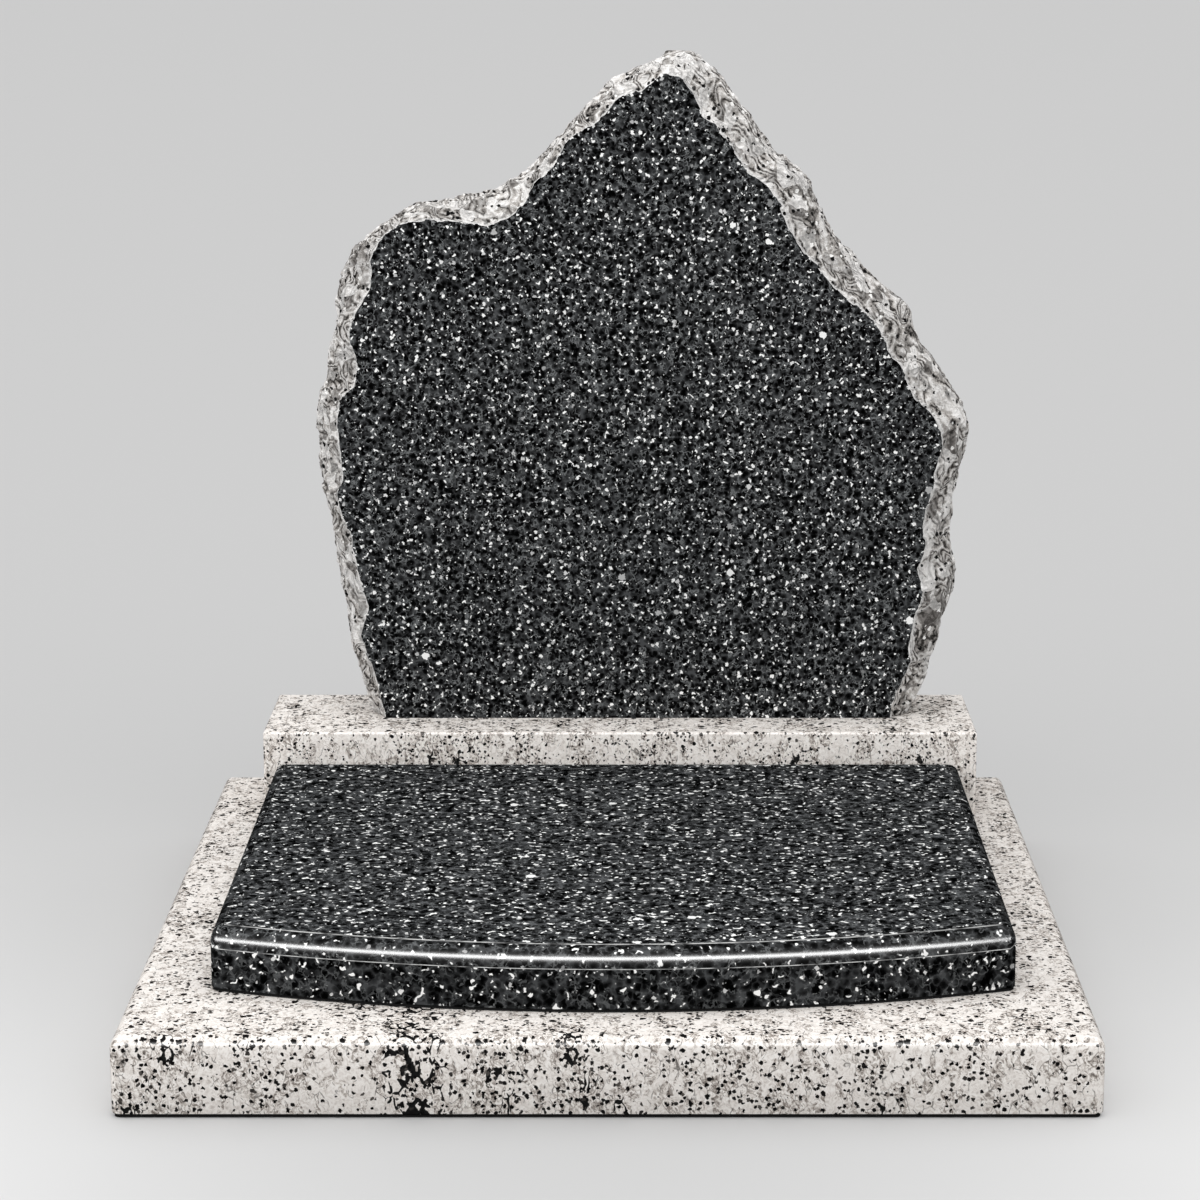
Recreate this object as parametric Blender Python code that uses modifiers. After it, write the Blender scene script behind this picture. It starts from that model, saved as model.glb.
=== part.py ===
"""Upright boulder headstone on a plinth, with a cover slab, all four pieces standing on one base slab.

Metres, +Z up. The origin is the middle of the base slab's underside, on the ground. The polished face looks to -Y.
"""
import math
import random

import bpy

# Base slab: the footprint of the whole memorial.
BASE_WIDTH = 1.000
BASE_DEPTH = 1.000
BASE_HEIGHT = 0.084
BASE_EDGE_R = 0.013          # round along the top edge
BASE_CORNER_R = 0.009        # round on the four upright corners
BASE_FOOT_R = 0.003          # small round along the bottom edge

# Plinth: the block that carries the stone. Its back is flush with the back of the base slab.
PLINTH_WIDTH = 0.876
PLINTH_DEPTH = 0.195
PLINTH_HEIGHT = 0.107
PLINTH_EDGE_R = 0.004
PLINTH_FOOT_R = 0.002
PLINTH_SHIFT = 0.009         # how far it sits to the right of the base slab's middle

# Cover slab: it butts against the plinth, and its front edge bows forward.
COVER_WIDTH = 0.840
COVER_SIDE = 0.656           # straight side, from the plinth to the front corner
COVER_BOW = 0.070            # how far the middle of the front stands out past its corners
COVER_HEIGHT = 0.067
COVER_NOSE_R = 0.0195        # round nose along the bowed front
COVER_SIDE_R = 0.013         # round along the two sides
COVER_CORNER_R = 0.011       # round on the two upright front corners
COVER_BACK_R = 0.002
COVER_SHIFT = 0.005
BOW_STEPS = 40

# Headstone: a split boulder sawn flat at the foot, at the face and at the back.
STONE_WIDTH = 0.805          # widest, from margin to margin
STONE_HEIGHT = 0.820
STONE_THICK = 0.100
STONE_SETBACK = 0.072        # from the plinth's front to the polished face
STONE_SHIFT = 0.031          # middle of the foot, to the right of the base slab's middle
CHIP_DEPTH = 0.0045          # how much the chips in the margin vary

REST_GAP = 0.0003            # left between pieces that rest on or against each other

# The stone as it was drawn, 805 mm wide and 820 mm high: the edge of the polished face (x, z), then the widest line of
# the chipped margin (x, z) beside it, in millimetres from the middle of the foot, clockwise from the left foot.
DRAWN_WIDTH = 805
DRAWN_HEIGHT = 820
STATIONS = [
    (-314, 0, -332, 0), (-318, 23, -340, 20), (-327, 58, -348, 52), (-344, 106, -362, 105),
    (-334, 140, -364, 137), (-348, 186, -375, 192), (-355, 232, -379, 238), (-370, 281, -391, 290),
    (-364, 310, -395, 325), (-368, 376, -395, 363), (-360, 404, -393, 398), (-348, 420, -385, 424),
    (-345, 449, -380, 450), (-352, 478, -373, 482), (-344, 505, -371, 512), (-325, 534, -365, 545),
    (-324, 572, -353, 573), (-311, 599, -336, 594), (-288, 617, -299, 620), (-262, 620, -271, 635),
    (-230, 619, -240, 642), (-196, 615, -205, 645), (-172, 616, -172, 653), (-148, 629, -154, 663),
    (-128, 658, -138, 673), (-103, 686, -115, 695), (-83, 717, -93, 721), (-59, 734, -70, 750),
    (-40, 746, -50, 769), (-22, 766, -30, 785), (-1, 774, -4, 798), (12, 782, 18, 806),
    (27, 796, 38, 817), (42, 792, 56, 820), (57, 785, 75, 815), (69, 768, 90, 802),
    (77, 747, 105, 785), (93, 736, 120, 764), (107, 719, 136, 741), (119, 698, 151, 720),
    (132, 679, 167, 700), (157, 661, 187, 686), (171, 641, 207, 667), (181, 619, 214, 650),
    (199, 587, 227, 622), (218, 565, 242, 594), (241, 541, 263, 574), (259, 521, 281, 553),
    (281, 503, 305, 531), (294, 490, 328, 512), (302, 474, 337, 487), (309, 453, 348, 462),
    (323, 438, 366, 440), (330, 420, 382, 415), (344, 398, 400, 388), (360, 383, 409, 370),
    (367, 368, 410, 357), (373, 347, 404, 337), (367, 321, 398, 312), (360, 278, 393, 286),
    (355, 247, 391, 250), (354, 212, 389, 229), (348, 191, 392, 200), (352, 172, 396, 184),
    (351, 146, 390, 144), (342, 127, 382, 120), (337, 96, 377, 97), (337, 68, 369, 68),
    (328, 40, 356, 31), (318, 14, 346, 12), (314, 0, 340, 0),
]
# Rings of the stone from the face to the back: share of the thickness, and how far out from the face edge the ring
# lies, where 1 is the widest line.
RINGS = [(0.0, 0.0), (0.10, 0.42), (0.23, 0.80), (0.40, 1.0), (0.66, 0.96), (0.86, 0.66), (1.0, 0.22)]


def collection(name):
    """A new collection under the scene's own."""
    made = bpy.data.collections.new(name)
    bpy.context.scene.collection.children.link(made)
    return made


def material(name, colour, roughness):
    """A plain Principled material."""
    made = bpy.data.materials.new(name)
    made.use_nodes = True
    shader = made.node_tree.nodes["Principled BSDF"]
    shader.inputs["Base Color"].default_value = (*colour, 1.0)
    shader.inputs["Roughness"].default_value = roughness
    return made


def mesh_object(name, points, faces, look, group):
    """One object from points and faces, with one material."""
    mesh = bpy.data.meshes.new(name)
    mesh.from_pydata(points, [], faces)
    mesh.update()
    made = bpy.data.objects.new(name, mesh)
    mesh.materials.append(look)
    group.objects.link(made)
    return made


def bevel_by_edge(made, radius_of, segments):
    """Rounds each edge by the radius that radius_of(start, end) gives, with one weighted Bevel modifier."""
    mesh = made.data
    radii = []
    for edge in mesh.edges:
        start, end = (mesh.vertices[i].co for i in edge.vertices)
        radii.append(radius_of(start, end))
    widest = max(radii)
    weights = mesh.attributes.new("bevel_weight_edge", "FLOAT", "EDGE")
    for edge, radius in zip(mesh.edges, radii):
        weights.data[edge.index].value = radius / widest
    bevel = made.modifiers.new("rounded edges", "BEVEL")
    bevel.width = widest
    bevel.segments = segments
    bevel.limit_method = "WEIGHT"
    bevel.use_clamp_overlap = True
    bevel.harden_normals = False


def smooth(made, angle=math.radians(35)):
    """Smooth shading that keeps the real edges sharp."""
    made.data.shade_smooth()
    made.data.set_sharp_from_angle(angle=angle)


def block(name, centre_x, front_y, under_z, width, depth, height, look, group):
    """A box given by the middle of its front, its front face and its underside."""
    x0, x1 = centre_x - width / 2, centre_x + width / 2
    y0, y1 = front_y, front_y + depth
    z0, z1 = under_z, under_z + height
    points = [(x, y, z) for z in (z0, z1) for x, y in ((x0, y0), (x1, y0), (x1, y1), (x0, y1))]
    faces = [(3, 2, 1, 0), (4, 5, 6, 7), (0, 1, 5, 4), (1, 2, 6, 5), (2, 3, 7, 6), (3, 0, 4, 7)]
    return mesh_object(name, points, faces, look, group)


def level(start, end, z):
    """True when both ends of an edge lie at height z."""
    return abs(start.z - z) < 1e-6 and abs(end.z - z) < 1e-6


def bowed_outline():
    """Plan of the cover slab, counter-clockwise from its back left corner: straight sides, and an arc in front whose
    radius R comes from the chord c and the bow b as R = c*c/(8*b) + b/2."""
    back = PLINTH_FRONT - REST_GAP
    corner = back - COVER_SIDE
    half = COVER_WIDTH / 2
    radius = COVER_WIDTH ** 2 / (8 * COVER_BOW) + COVER_BOW / 2
    middle_y = corner - COVER_BOW + radius
    spread = math.asin(half / radius)
    arc = []
    for i in range(BOW_STEPS + 1):
        turn = spread * (2 * i / BOW_STEPS - 1)
        arc.append((COVER_SHIFT + radius * math.sin(turn), middle_y - radius * math.cos(turn)))
    return [(COVER_SHIFT - half, back)] + arc + [(COVER_SHIFT + half, back)]


def station_points(out, y, chips):
    """One ring of the stone at depth y: each point lies the share out of the way from the face edge to the margin's
    widest line, and a chip moves it a little in x and z. The foot stays level."""
    across = STONE_WIDTH / (DRAWN_WIDTH / 1000) / 1000
    up = STONE_HEIGHT / (DRAWN_HEIGHT / 1000) / 1000
    ring = []
    for i, (fx, fz, mx, mz) in enumerate(STATIONS):
        share = min(1.0, out + chips[i]) if 0.0 < out < 1.0 else out
        x = (fx + (mx - fx) * share) * across
        z = (fz + (mz - fz) * share) * up
        ring.append((STONE_SHIFT + x, y, STONE_FOOT + z))
    return ring


def headstone(look, group):
    """Loft of rings from the polished face, out to the widest line of the margin, and in again to the back."""
    chance = random.Random(41)
    count = len(STATIONS)
    points = []
    for share, out in RINGS:
        chips = [chance.uniform(-1.0, 1.0) * CHIP_DEPTH / 0.030 for _ in range(count)]
        sway = [chance.uniform(-1.0, 1.0) * CHIP_DEPTH for _ in range(count)]
        ring = station_points(out, STONE_FACE + share * STONE_THICK, chips)
        if 0.0 < share < 1.0:
            ring = [(x, y + sway[i], z) for i, (x, y, z) in enumerate(ring)]
        points += ring
    faces = [tuple(reversed(range(count))), tuple(range(len(points) - count, len(points)))]
    for r in range(len(RINGS) - 1):
        for i in range(count):
            j = (i + 1) % count
            a, b = r * count + i, r * count + j
            faces.append((a, b, b + count, a + count))
    return mesh_object("headstone", points, faces, look, group)


for old in list(bpy.data.objects):
    bpy.data.objects.remove(old, do_unlink=True)

PLINTH_FRONT = BASE_DEPTH / 2 - PLINTH_DEPTH
PLINTH_UNDER = BASE_HEIGHT + REST_GAP
STONE_FACE = PLINTH_FRONT + STONE_SETBACK
STONE_FOOT = PLINTH_UNDER + PLINTH_HEIGHT + REST_GAP

memorial = collection("headstone memorial")
light_base = material("base granite", (0.66, 0.62, 0.58), 0.22)
light_plinth = material("plinth granite", (0.66, 0.62, 0.58), 0.22)
dark_cover = material("cover granite", (0.045, 0.047, 0.050), 0.15)
dark_stone = material("headstone granite", (0.050, 0.052, 0.055), 0.25)

base_slab = block("base_slab", 0.0, -BASE_DEPTH / 2, 0.0, BASE_WIDTH, BASE_DEPTH, BASE_HEIGHT, light_base, memorial)
bevel_by_edge(
    base_slab,
    lambda a, b: BASE_EDGE_R if level(a, b, BASE_HEIGHT) else BASE_FOOT_R if level(a, b, 0.0) else BASE_CORNER_R,
    6,
)
smooth(base_slab)

plinth = block("plinth", PLINTH_SHIFT, PLINTH_FRONT, PLINTH_UNDER, PLINTH_WIDTH, PLINTH_DEPTH, PLINTH_HEIGHT,
               light_plinth, memorial)
bevel_by_edge(plinth, lambda a, b: PLINTH_FOOT_R if level(a, b, PLINTH_UNDER) else PLINTH_EDGE_R, 4)
smooth(plinth)

plan = bowed_outline()
count = len(plan)
low = [(x, y, BASE_HEIGHT + REST_GAP) for x, y in plan]
high = [(x, y, BASE_HEIGHT + REST_GAP + COVER_HEIGHT) for x, y in plan]
walls = [(i, (i + 1) % count, (i + 1) % count + count, i + count) for i in range(count)]
cover_slab = mesh_object(
    "cover_slab", low + high, [tuple(reversed(range(count))), tuple(range(count, 2 * count))] + walls,
    dark_cover, memorial,
)


def cover_radius(a, b):
    """Radius for one edge of the cover slab, by where the edge lies."""
    back = PLINTH_FRONT - REST_GAP
    corner = back - COVER_SIDE
    top = BASE_HEIGHT + REST_GAP + COVER_HEIGHT
    half = COVER_WIDTH / 2
    at_side = abs(abs(a.x - COVER_SHIFT) - half) < 1e-6 and abs(abs(b.x - COVER_SHIFT) - half) < 1e-6
    if abs(a.z - b.z) > 1e-6:
        if not at_side:
            return 0.0
        return COVER_CORNER_R if a.y < corner + 1e-4 else COVER_BACK_R
    if not level(a, b, top) or (a.y > back - 1e-6 and b.y > back - 1e-6):
        return COVER_BACK_R
    return COVER_SIDE_R if at_side else COVER_NOSE_R


bevel_by_edge(cover_slab, cover_radius, 8)
smooth(cover_slab)

headstone(dark_stone, memorial)
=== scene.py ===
# %% [markdown]
# # A boulder headstone on its plinth, with a cover slab and a base slab
#
# This lesson dresses a small granite memorial. The construction already exists as solids: four
# slabs and blocks of stone at their real size. Here each piece gets the surface that a mason and a
# polisher would give it: rounded and polished edges, a flat polished face, a rock-pitched margin,
# and granite that runs through the stone as it does in a real block.
#
# Everything is in metres. X is the width, Y the depth (the front looks to -Y) and Z is up. The
# origin is the middle of the base slab's underside, on the ground.

# %% Load the frame
import math

import bpy
import numpy as np
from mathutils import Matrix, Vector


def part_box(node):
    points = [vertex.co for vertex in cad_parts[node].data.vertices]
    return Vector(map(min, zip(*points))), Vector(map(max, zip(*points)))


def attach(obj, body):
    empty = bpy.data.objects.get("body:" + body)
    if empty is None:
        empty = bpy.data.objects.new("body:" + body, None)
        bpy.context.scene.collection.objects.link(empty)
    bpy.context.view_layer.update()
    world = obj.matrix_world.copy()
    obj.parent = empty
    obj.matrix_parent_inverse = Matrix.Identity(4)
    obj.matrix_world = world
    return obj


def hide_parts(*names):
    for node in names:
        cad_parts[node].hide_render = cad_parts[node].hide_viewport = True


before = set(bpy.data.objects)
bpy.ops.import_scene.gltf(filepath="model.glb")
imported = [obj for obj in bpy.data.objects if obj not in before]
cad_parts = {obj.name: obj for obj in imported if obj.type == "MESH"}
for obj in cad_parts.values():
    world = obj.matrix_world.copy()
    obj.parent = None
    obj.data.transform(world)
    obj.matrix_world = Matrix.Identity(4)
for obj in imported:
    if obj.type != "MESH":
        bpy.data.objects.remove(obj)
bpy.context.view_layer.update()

scene = bpy.context.scene
print("solids:", sorted(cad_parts))

# %% [markdown]
# ## Reading the real sizes from the frame
#
# A piece that is made again here has to stand exactly where its solid stands. So the sizes are not
# typed in twice: they are read from the boxes of the solids.

# %% Boxes of the four stones
BASE_LOW, BASE_HIGH = (np.array(corner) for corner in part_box("base_slab"))
COVER_LOW, COVER_HIGH = (np.array(corner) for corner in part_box("cover_slab"))
PLINTH_LOW, PLINTH_HIGH = (np.array(corner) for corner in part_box("plinth"))
STONE_LOW, STONE_HIGH = (np.array(corner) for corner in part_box("headstone"))
for title, low, high in (
    ("base slab", BASE_LOW, BASE_HIGH),
    ("cover slab", COVER_LOW, COVER_HIGH),
    ("plinth", PLINTH_LOW, PLINTH_HIGH),
    ("headstone", STONE_LOW, STONE_HIGH),
):
    print(title, "measures", np.round((high - low) * 1000, 1), "mm")

# %% [markdown]
# ## The camera
#
# The camera stands 3.7 m in front of the middle of the base slab, at eye height for a seated
# person, and looks down by a little more than 12 degrees. A long lens keeps the upright edges
# almost parallel. The picture is shifted by 36 of its 1200 pixels, so the lens does not point at
# its very middle.

# %% Camera
CAMERA_PLACE = (0.0290, -3.7260, 1.2410)
CAMERA_PITCH = 0.2157
SENSOR_WIDTH = 36.0
PICTURE_PIXELS = 1200.0
FOCAL_PIXELS = 3395.0
SHIFT_PIXELS = -36.3
SIGHT_RANGE = 60.0

camera_data = bpy.data.cameras.new("camera")
camera_data.sensor_width = SENSOR_WIDTH
camera_data.lens = FOCAL_PIXELS / PICTURE_PIXELS * SENSOR_WIDTH
camera_data.shift_x = SHIFT_PIXELS / PICTURE_PIXELS
camera_data.clip_end = SIGHT_RANGE
camera = bpy.data.objects.new("camera", camera_data)
camera.location = CAMERA_PLACE
camera.rotation_euler = (math.pi / 2 - CAMERA_PITCH, 0.0, 0.0)
scene.collection.objects.link(camera)
scene.camera = camera
print("lens", round(camera_data.lens, 1), "mm")
print("looking down by", round(math.degrees(CAMERA_PITCH), 1), "degrees")

# %% [markdown]
# ## From rings of points to a mesh
#
# All four stones are the same kind of surface: closed rings of points, stacked from one end to the
# other, with a flat lid on each end. One helper turns such a stack into a mesh, and takes the whole
# array at once.

# %% Helper: a stack of rings becomes a closed stone
def stone_from_rings(name, rings, materials, band_slots=None, lid_slots=(0, 0)):
    """A closed mesh from rings[k, n] = point n of ring k. Each quad joins points n and n+1 of rings
    k and k+1, the last point of a ring joins its first, and the first and the last ring are closed
    by flat lids. band_slots[k, n] is the material slot of the quad that starts there, lid_slots
    those of the two lids."""
    count_k, count_n, _ = rings.shape
    index = np.arange(count_k * count_n).reshape(count_k, count_n)
    ahead = np.roll(index, -1, axis=1)
    quads = np.stack([index[:-1], ahead[:-1], ahead[1:], index[1:]], axis=-1).reshape(-1, 4)
    corners = np.concatenate([quads.ravel(), index[0][::-1], index[-1]])
    sizes = np.concatenate([np.full(len(quads), 4), [count_n, count_n]])
    starts = np.concatenate([[0], np.cumsum(sizes)[:-1]])
    mesh = bpy.data.meshes.new(name)
    mesh.vertices.add(count_k * count_n)
    mesh.vertices.foreach_set("co", rings.reshape(-1).astype(np.float32))
    mesh.loops.add(len(corners))
    mesh.loops.foreach_set("vertex_index", corners.astype(np.int32))
    mesh.polygons.add(len(sizes))
    mesh.polygons.foreach_set("loop_start", starts.astype(np.int32))
    slots = np.zeros(len(sizes), dtype=np.int32)
    if band_slots is not None:
        slots[: len(quads)] = band_slots.reshape(-1)
    slots[-2:] = lid_slots
    mesh.polygons.foreach_set("material_index", slots)
    smooth = np.ones(len(sizes), dtype=bool)
    smooth[-2:] = False
    mesh.polygons.foreach_set("use_smooth", smooth)
    for material in materials:
        mesh.materials.append(material)
    mesh.update(calc_edges=True)
    mesh.validate()
    piece = bpy.data.objects.new(name, mesh)
    scene.collection.objects.link(piece)
    print(name, "has", len(mesh.vertices), "points and", len(mesh.polygons), "faces")
    return piece


def place_of_stone(piece, node):
    """The piece rides on the memorial and stands for its solid, which is hidden."""
    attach(piece, "root")
    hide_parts(node)


# %% [markdown]
# ## Writing a stone as a recipe of nodes
#
# Granite has no picture that could be wrapped round a block: its crystals lie in the block in three
# dimensions, and a saw or a chisel only shows a new section. So every pattern here is a solid
# pattern in object coordinates, in metres. Voronoi cells are the crystals, and noise decides where
# they crowd together.

# %% Helper: short words for the nodes of a stone
class StoneRecipe:
    """A material under construction. Each word adds one node and returns its output."""

    def __init__(self, name):
        self.material = bpy.data.materials.new(name)
        self.material.use_nodes = True
        self.tree = self.material.node_tree
        self.shader = self.tree.nodes["Principled BSDF"]
        self.place = self.tree.nodes.new("ShaderNodeTexCoord").outputs["Object"]

    def feed(self, socket, value):
        """Links an output to a socket, writes a plain value into it, or leaves it alone when there
        is none."""
        if isinstance(value, bpy.types.NodeSocket):
            self.tree.links.new(value, socket)
        elif value is not None:
            socket.default_value = value

    def sum(self, operation, a, b=None):
        """One step of arithmetic on numbers."""
        node = self.tree.nodes.new("ShaderNodeMath")
        node.operation = operation
        self.feed(node.inputs[0], a)
        self.feed(node.inputs[1], b)
        return node.outputs[0]

    def move(self, operation, a, b=None, scale=None):
        """One step of arithmetic on places."""
        node = self.tree.nodes.new("ShaderNodeVectorMath")
        node.operation = operation
        self.feed(node.inputs[0], a)
        self.feed(node.inputs[1], b)
        if scale is not None:
            self.feed(node.inputs["Scale"], scale)
        return node.outputs[0]

    def noise(self, place, scale, detail=2.0, roughness=0.5, distortion=0.0, colour=False):
        """Cloudy noise with scale clouds to the metre."""
        node = self.tree.nodes.new("ShaderNodeTexNoise")
        self.feed(node.inputs["Vector"], place)
        node.inputs["Scale"].default_value = scale
        node.inputs["Detail"].default_value = detail
        node.inputs["Roughness"].default_value = roughness
        node.inputs["Distortion"].default_value = distortion
        return node.outputs["Color" if colour else "Fac"]

    def crystals(self, place, scale, feature="F1"):
        """Voronoi cells with scale cells to the metre: (distance, cell colour)."""
        node = self.tree.nodes.new("ShaderNodeTexVoronoi")
        node.feature = feature
        self.feed(node.inputs["Vector"], place)
        node.inputs["Scale"].default_value = scale
        return node.outputs["Distance"], node.outputs.get("Color")

    def parts(self, colour):
        """The three numbers of a cell's colour: three dice for each crystal."""
        node = self.tree.nodes.new("ShaderNodeSeparateColor")
        self.feed(node.inputs[0], colour)
        return node.outputs[0], node.outputs[1], node.outputs[2]

    def between(self, value, low, high, to_low=0.0, to_high=1.0):
        """value taken from low..high to to_low..to_high along a smooth step."""
        node = self.tree.nodes.new("ShaderNodeMapRange")
        node.interpolation_type = "SMOOTHSTEP"
        self.feed(node.inputs["Value"], value)
        ends = (("From Min", low), ("From Max", high), ("To Min", to_low), ("To Max", to_high))
        for name, number in ends:
            self.feed(node.inputs[name], number)
        return node.outputs[0]

    def ramp(self, value, stops):
        """A colour for each value, from stops of (place, (red, green, blue))."""
        node = self.tree.nodes.new("ShaderNodeValToRGB")
        self.feed(node.inputs[0], value)
        line = node.color_ramp.elements
        while len(line) < len(stops):
            line.new(0.5)
        for element, (place, colour) in zip(line, stops):
            element.position = place
            element.color = (*colour, 1.0)
        return node.outputs[0]

    def mix(self, share, a, b):
        """Colour a with a share of colour b."""
        node = self.tree.nodes.new("ShaderNodeMix")
        node.data_type = "RGBA"
        for socket, value in ((node.inputs[0], share), (node.inputs[6], a), (node.inputs[7], b)):
            self.feed(socket, (*value, 1.0) if isinstance(value, tuple) and len(value) == 3 else value)
        return node.outputs[2]

    def stretch(self, place, scale):
        """The place scaled along the three axes."""
        return self.move("MULTIPLY", place, scale)

    def turn(self, place, angle):
        """The place turned about the depth axis by an angle in degrees."""
        node = self.tree.nodes.new("ShaderNodeMapping")
        self.feed(node.inputs["Vector"], place)
        node.inputs["Rotation"].default_value = (0.0, math.radians(angle), 0.0)
        return node.outputs[0]

    def warp(self, place, scale, reach, detail=2.0):
        """The place pushed about by noise, at most reach metres or so."""
        cloud = self.noise(self.place, scale, detail, colour=True)
        push = self.move("SUBTRACT", cloud, (0.5, 0.5, 0.5))
        return self.move("ADD", place, self.move("SCALE", push, scale=reach * 2.0))

    def bump(self, height, strength, distance):
        """A bumped normal from a height."""
        node = self.tree.nodes.new("ShaderNodeBump")
        node.inputs["Strength"].default_value = strength
        node.inputs["Distance"].default_value = distance
        self.feed(node.inputs["Height"], height)
        return node.outputs[0]

    def finish(self, colour, roughness, normal=None, shine=0.5):
        """Feeds the shader and gives the material back. shine is how strongly the polish
        mirrors."""
        self.feed(self.shader.inputs["Base Color"], colour)
        self.feed(self.shader.inputs["Roughness"], roughness)
        self.shader.inputs["Specular IOR Level"].default_value = shine
        self.feed(self.shader.inputs["Normal"], normal)
        return self.material


# %% [markdown]
# ## Joints and ledges
#
# Two plain looks come first. The set-back joint under a slab is painted near black: a painted
# contact shadow, the dark line in the joint under it. And the profile wheel that grinds a round edge
# stops at a fine ledge on either side, where the stone keeps its scratches; their pale grey is also
# a painted highlight on the thin line that the ledge catches.

# %% Painted joint shadow and unpolished ledge
DULL_SHINE = 0.2


def scratches_and_painted_glint(name):
    """The thin line that the profile wheel leaves: pale where the wheel has scratched it, dark
    where it has not. The pale grey is partly a painted highlight too, for the thin line of light
    that the ledge catches."""
    r = StoneRecipe(name)
    scratches = r.noise(r.place, 45.0, detail=3.0)
    colour = r.ramp(scratches, [(0.34, (0.03, 0.03, 0.03)), (0.56, (0.45, 0.45, 0.445))])
    return r.finish(colour, 0.5, shine=DULL_SHINE)


# Near black paint for the joint under each slab: a painted contact shadow.
joint_shadow_paint = StoneRecipe("painted joint shadow").finish((0.004, 0.004, 0.004, 1.0), 0.9, shine=DULL_SHINE)
ledge_scratches_and_glint = scratches_and_painted_glint("unpolished ledge")
print("made", joint_shadow_paint.name, "and", ledge_scratches_and_glint.name)

# %% [markdown]
# ## Light granite
#
# The base slab and the plinth are a pale granite. Clean white feldspar crystals about a centimetre
# across lie between smoky ones, which are full of fine curly strands, and small black flecks of
# mica sit on both. Here and there the flecks run together: then thick black seams stand round the
# white crystals. A dark vein of that kind crosses the left half of the base slab.

# %% Light granite
PALE_CRYSTALS = 105.0
# For each size of fleck: cells to the metre, share of them that are flecks where it is calm and
# where it is busy, and the least and greatest radius as a share of the cell.
BLACK_FLECKS = ((225.0, 0.24, 0.58, 0.18, 0.56), (120.0, 0.16, 0.62, 0.16, 0.46))


def light_granite(name, seed, calm, tone, vein=None):
    """Pale granite. A curly noise picks the colour from a cream ramp, and a Voronoi cell's dice
    says how smoky the crystal is: smoky ones carry thin brown strands, a noise drawn out four times
    along a slant. Black seams widen where a broad noise is above calm, and flecks crowd together on
    its slopes. vein is (x, lean): a dark plane that starts at x and leans as it rises through the
    block. tone brightens or darkens the cream."""
    r = StoneRecipe(name)
    home = r.move("ADD", r.place, (seed, seed * 0.7, seed * 0.3))
    bent = r.warp(home, 60.0, 0.005, detail=2.0)
    ragged = r.warp(home, 300.0, 0.0024)

    broad = r.noise(r.stretch(home, (1.0, 0.5, 0.5)), 22.0, detail=3.0, roughness=0.7)
    crowd = r.between(broad, calm, calm + 0.14)
    busy = r.between(broad, calm - 0.15, calm + 0.04)
    if vein is not None:
        parts = r.tree.nodes.new("ShaderNodeSeparateXYZ")
        r.feed(parts.inputs[0], r.warp(r.place, 25.0, 0.018))
        leaning = r.sum("MULTIPLY", parts.outputs[2], vein[1])
        off = r.sum("SUBTRACT", r.sum("ADD", parts.outputs[0], leaning), vein[0])
        near_vein = r.between(r.sum("ABSOLUTE", off), 0.008, 0.046, 1.0, 0.0)
        crowd = r.sum("MAXIMUM", crowd, near_vein)
        busy = r.sum("MAXIMUM", busy, near_vein)

    tall = r.stretch(bent, (1.0, 0.8, 0.55))
    tint = r.parts(r.crystals(tall, PALE_CRYSTALS)[1])[0]
    smoky = r.between(r.sum("ADD", tint, r.sum("MULTIPLY", busy, 0.35)), 0.40, 1.05)
    curls = r.noise(bent, 190.0, detail=4.0, roughness=0.65, distortion=1.2)
    shade = r.sum("MULTIPLY", r.sum("SUBTRACT", curls, 0.58), r.between(smoky, 0.0, 1.0, 0.65, 1.45))
    ground = r.ramp(r.sum("ADD", shade, 0.58), [
        (place, tuple(tone * np.array(cream)))
        for place, cream in (
            (0.24, (0.15, 0.130, 0.116)), (0.36, (0.42, 0.378, 0.345)), (0.45, (0.68, 0.632, 0.590)),
            (0.53, (0.83, 0.787, 0.747)), (0.62, (0.92, 0.888, 0.853)),
        )
    ])
    drawn = r.stretch(r.turn(bent, 22.0), (1.0, 0.7, 0.24))
    strands = r.noise(drawn, 430.0, detail=2.0, roughness=0.6, distortion=0.5)
    strand = r.sum("MULTIPLY", r.between(strands, 0.45, 0.35), r.between(smoky, 0.0, 0.6, 0.05, 0.75))
    ground = r.mix(strand, ground, (0.20, 0.168, 0.145))

    seam = r.crystals(tall, PALE_CRYSTALS, feature="DISTANCE_TO_EDGE")[0]
    broken = r.noise(home, 95.0, detail=2.0)
    hair = r.sum("MULTIPLY", r.between(seam, 0.0, 0.06, 0.8, 0.0), r.between(broken, 0.50, 0.62))
    ground = r.mix(hair, ground, (0.06, 0.052, 0.046))
    thick = r.sum("MULTIPLY", crowd, r.between(broken, 0.42, 0.60, 0.0, 0.19))
    clot = r.between(r.sum("SUBTRACT", thick, seam), 0.0, 0.03)
    ground = r.mix(clot, ground, (0.010, 0.010, 0.010))

    colour = ground
    for scale, few, many, small, wide in BLACK_FLECKS:
        distance, dice = r.crystals(ragged, scale)
        fall, size, shade = r.parts(dice)
        present = r.between(r.sum("SUBTRACT", r.between(busy, 0.0, 1.0, few, many), fall), 0.0, 0.02)
        reach = r.between(size, 0.0, 1.0, small, wide)
        inside = r.between(r.sum("SUBTRACT", reach, distance), 0.0, 0.05)
        ink = r.ramp(shade, [
            (0.0, (0.003, 0.003, 0.003)), (0.7, (0.010, 0.009, 0.009)), (1.0, (0.09, 0.080, 0.072)),
        ])
        colour = r.mix(r.sum("MULTIPLY", present, inside), colour, ink)
    return r.finish(colour, r.between(tint, 0.0, 1.0, 0.30, 0.22), shine=0.3)


base_granite = light_granite("base granite", 3.1, 0.58, 1.0, vein=(-0.184, 0.22))
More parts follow.
